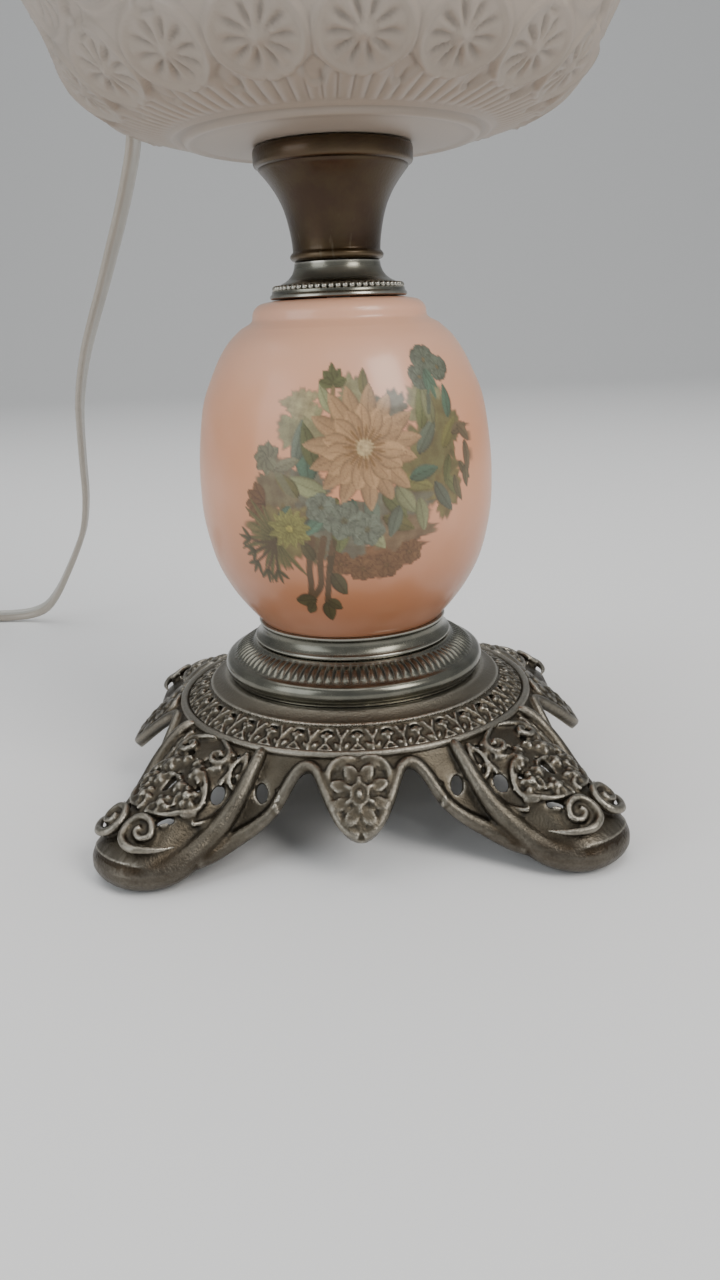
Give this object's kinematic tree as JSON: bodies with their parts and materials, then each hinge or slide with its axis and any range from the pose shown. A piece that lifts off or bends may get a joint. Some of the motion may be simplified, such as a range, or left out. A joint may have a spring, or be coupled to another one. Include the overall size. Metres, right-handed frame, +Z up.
{
  "type": "oil lamp",
  "caption": "Electrified parlour oil lamp: pierced cast base, painted glass stem, pressed glass fount, burner with rotary switch, bulb, tall glass chimney and a cord with its plug.",
  "frame": {"origin": "on the table, under the middle of the base", "axes": "+Z up along the lamp's axis, -Y towards the front where the bouquet faces, +X to the right, where the switch key is"},
  "size_m": [0.3323, 0.2762, 0.5146],
  "materials": {
    "antique_casting": "dark antique bronze plating, worn bright on the high spots",
    "antique_collar": "spun sheet, dark antique plating, polished",
    "aged_brass": "brown lacquered, satin",
    "burner_brass": "lacquered, polished",
    "steel": "plain",
    "painted_glass": "opal, satin, painted peach with a bouquet",
    "frosted_glass": "pressed and frosted",
    "clear_glass": "clear, blown",
    "bulb_glass": "soft white",
    "plaster": "plaster of Paris, matte",
    "phenolic": "dark brown, moulded",
    "porcelain": "white glaze",
    "cord_plastic": "clear grey jacket over two wires"
  },
  "bodies": {
    "lamp": {"base_casting": "antique_casting", "base_nut": "steel", "base_washer": "steel", "tie_rod": "steel", "gadroon_collar": "antique_collar", "seat_ring": "antique_collar", "glass_stem": "painted_glass", "cap_ring": "antique_collar", "connector": "aged_brass", "connector_nut": "steel", "peg_plaster": "plaster", "fount": "frosted_glass", "fount_collar": "burner_brass", "collar_plaster": "plaster", "burner_thimble": "burner_brass", "burner_bowl": "burner_brass", "gallery": "burner_brass", "switch_block": "phenolic", "socket_base": "porcelain", "socket_shell": "burner_brass", "socket_liner": "phenolic", "screw_shell": "burner_brass", "centre_contact": "burner_brass", "cord_bushing": "phenolic", "lead_live": "cord_plastic", "lead_neutral": "cord_plastic", "cord_run": "cord_plastic", "cord_coil": "cord_plastic", "cord_tail": "cord_plastic", "plug_body": "cord_plastic", "plug_blade_left": "burner_brass", "plug_blade_right": "burner_brass"},
    "chimney": {"chimney": "clear_glass"},
    "switch_key": {"switch_shaft": "burner_brass", "switch_knob": "burner_brass"},
    "bulb_foot": {"bulb_tip": "phenolic"},
    "bulb": {"bulb_cap": "steel", "bulb_glass": "bulb_glass"}
  },
  "joints": [
    {"name": "chimney_lift", "type": "slide", "parent": "lamp", "child": "chimney", "axis": [0, 0, 1], "range_m": [0, 0.13]},
    {"name": "switch_turn", "type": "hinge", "parent": "lamp", "child": "switch_key", "pos_m": [0.05, 0, 0.28605], "axis": [1, 0, 0], "continuous": true},
    {"name": "bulb_travel", "type": "slide", "parent": "lamp", "child": "bulb_foot", "axis": [0, 0, 1], "range_m": [0, 0.0109]},
    {"name": "bulb_turn", "type": "hinge", "parent": "bulb_foot", "child": "bulb", "pos_m": [0, 0, 0.32], "axis": [0, 0, 1], "range_deg": [0, 1080]}
  ],
  "couplings": [
    {"joint": "bulb_travel", "follows": "bulb_turn", "m_per_rad": 0.0005718}
  ]
}
